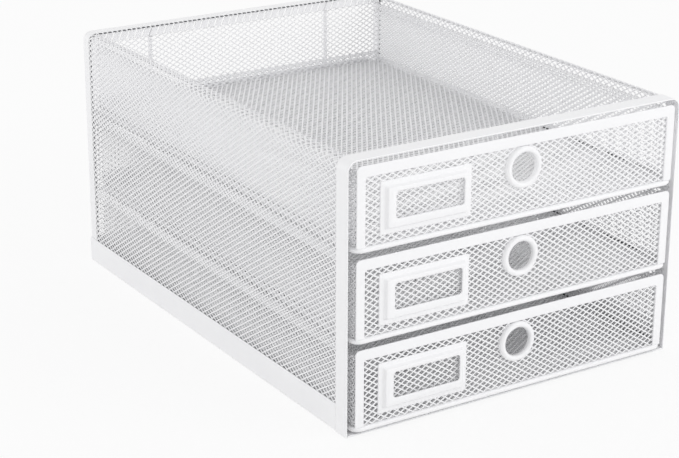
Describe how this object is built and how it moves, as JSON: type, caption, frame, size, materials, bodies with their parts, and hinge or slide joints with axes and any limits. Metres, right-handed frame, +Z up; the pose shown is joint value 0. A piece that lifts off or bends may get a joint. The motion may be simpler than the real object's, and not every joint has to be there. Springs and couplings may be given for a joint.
{
  "type": "mesh desk organizer",
  "caption": "White powder-coated steel mesh desk organizer, an open-topped cabinet with sliding mesh drawers, each with a finger ring and a label holder.",
  "frame": {"origin": "middle of the flat underside of the base panel", "axes": "+Z up, the drawer fronts face -Y, +X to the right of someone facing the drawers"},
  "size_m": [0.251, 0.355, 0.174],
  "materials": {
    "coated_sheet": "satin white powder coat on sheet steel",
    "coated_mesh": "satin white powder coat on expanded steel mesh",
    "coated_wire": "satin white powder coat on steel wire"
  },
  "bodies": {
    "cabinet": {"base_panel": "coated_sheet", "left_skirt": "coated_sheet", "right_skirt": "coated_sheet", "rear_skirt": "coated_sheet", "front_frame": "coated_sheet", "back_frame": "coated_sheet", "left_side_mesh": "coated_mesh", "right_side_mesh": "coated_mesh", "left_rim": "coated_mesh", "right_rim": "coated_mesh", "back_mesh": "coated_mesh", "back_support_wires": "coated_wire", "bottom_left_runner": "coated_sheet", "bottom_right_runner": "coated_sheet", "bottom_rear_rail": "coated_sheet", "middle_left_runner": "coated_sheet", "middle_right_runner": "coated_sheet", "middle_rear_rail": "coated_sheet", "top_left_runner": "coated_sheet", "top_right_runner": "coated_sheet", "top_rear_rail": "coated_sheet"},
    "top_drawer": {"top_bottom_wire": "coated_wire", "top_floor_mesh": "coated_mesh", "top_left_wall_mesh": "coated_mesh", "top_right_wall_mesh": "coated_mesh", "top_rear_wall_mesh": "coated_mesh", "top_front_mesh": "coated_mesh", "top_front_border": "coated_sheet", "top_label_holder": "coated_sheet", "top_finger_ring": "coated_wire"},
    "middle_drawer": {"middle_bottom_wire": "coated_wire", "middle_floor_mesh": "coated_mesh", "middle_left_wall_mesh": "coated_mesh", "middle_right_wall_mesh": "coated_mesh", "middle_rear_wall_mesh": "coated_mesh", "middle_front_mesh": "coated_mesh", "middle_front_border": "coated_sheet", "middle_label_holder": "coated_sheet", "middle_finger_ring": "coated_wire"},
    "bottom_drawer": {"bottom_bottom_wire": "coated_wire", "bottom_floor_mesh": "coated_mesh", "bottom_left_wall_mesh": "coated_mesh", "bottom_right_wall_mesh": "coated_mesh", "bottom_rear_wall_mesh": "coated_mesh", "bottom_front_mesh": "coated_mesh", "bottom_front_border": "coated_sheet", "bottom_label_holder": "coated_sheet", "bottom_finger_ring": "coated_wire"}
  },
  "joints": [
    {"name": "top_drawer_slide", "type": "slide", "parent": "cabinet", "child": "top_drawer", "axis": [0, -1, 0], "range_m": [0, 0.25]},
    {"name": "middle_drawer_slide", "type": "slide", "parent": "cabinet", "child": "middle_drawer", "axis": [0, -1, 0], "range_m": [0, 0.25]},
    {"name": "bottom_drawer_slide", "type": "slide", "parent": "cabinet", "child": "bottom_drawer", "axis": [0, -1, 0], "range_m": [0, 0.25]}
  ]
}
